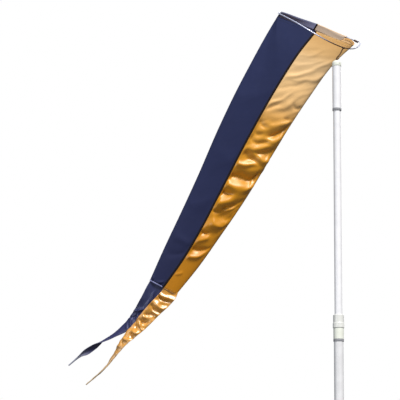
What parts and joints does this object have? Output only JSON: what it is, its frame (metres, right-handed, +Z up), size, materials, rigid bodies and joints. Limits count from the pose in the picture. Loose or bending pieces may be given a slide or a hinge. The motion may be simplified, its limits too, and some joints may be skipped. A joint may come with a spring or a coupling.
{
  "type": "windsock with telescopic pole",
  "caption": "Two-colour cloth windsock with streamer tails, hung on a wire hoop that swivels on top of a telescopic pole with a twist lock.",
  "frame": {"origin": "centre of the pole's foot, on its flat underside", "axes": "+Z up the pole; the wind carries the sock to -X; the hoop's bare near side faces -Y"},
  "size_m": [0.9918, 0.4111, 2.0005],
  "materials": {
    "white_tube": "white powder coat, satin gloss",
    "white_plastic": "moulded, light gloss",
    "pale_plastic": "moulded, faint green-grey cast",
    "nylon": "natural nylon, matte",
    "dark_rubber": "matte",
    "steel_wire": "drawn spring wire",
    "bronzed_wire": "heat-darkened wire",
    "dark_steel": "darkened crimp and screw",
    "spring_steel": "plain",
    "navy_cloth": "plain woven polyester, matte",
    "gold_satin": "satin, strong sheen",
    "black_tape": "woven binding",
    "hem_navy": "navy cloth's paler inside",
    "hem_grey": "back of the gold satin, grey beige"
  },
  "bodies": {
    "lower_pole": {"foot_plug": "white_plastic", "lower_tube": "white_tube", "lock_gasket": "dark_rubber", "lock_body": "pale_plastic", "lock_collet": "nylon"},
    "lock_ring": {"lock_nut": "white_plastic"},
    "upper_pole": {"bottom_bush": "nylon", "upper_tube": "white_tube", "pivot_plug": "nylon", "thrust_washer": "spring_steel", "retaining_clip": "spring_steel"},
    "head": {"upper_bush": "nylon", "lower_bush": "nylon", "rotating_sleeve": "white_tube", "sleeve_ring": "dark_rubber", "dome_cap": "white_plastic", "stem_set_screw": "dark_steel", "hoop_stem": "bronzed_wire", "hoop_wire": "steel_wire", "crimp_ferrule": "dark_steel", "navy_panel": "navy_cloth", "gold_panel": "gold_satin", "front_seam_tape": "black_tape", "back_seam_tape": "black_tape", "navy_hem": "hem_navy", "gold_hem": "hem_grey", "end_hem": "black_tape", "navy_tail": "navy_cloth", "gold_tail": "gold_satin"}
  },
  "joints": [
    {"name": "lock_turn", "type": "hinge", "parent": "lower_pole", "child": "lock_ring", "pos_m": [0, 0, 0.89], "axis": [0, 0, 1], "range_deg": [0, 120]},
    {"name": "telescope", "type": "slide", "parent": "lower_pole", "child": "upper_pole", "axis": [0, 0, 1], "range_m": [-0.65, 0]},
    {"name": "head_swivel", "type": "hinge", "parent": "upper_pole", "child": "head", "pos_m": [0, 0, 1.72], "axis": [0, 0, 1], "continuous": true}
  ]
}
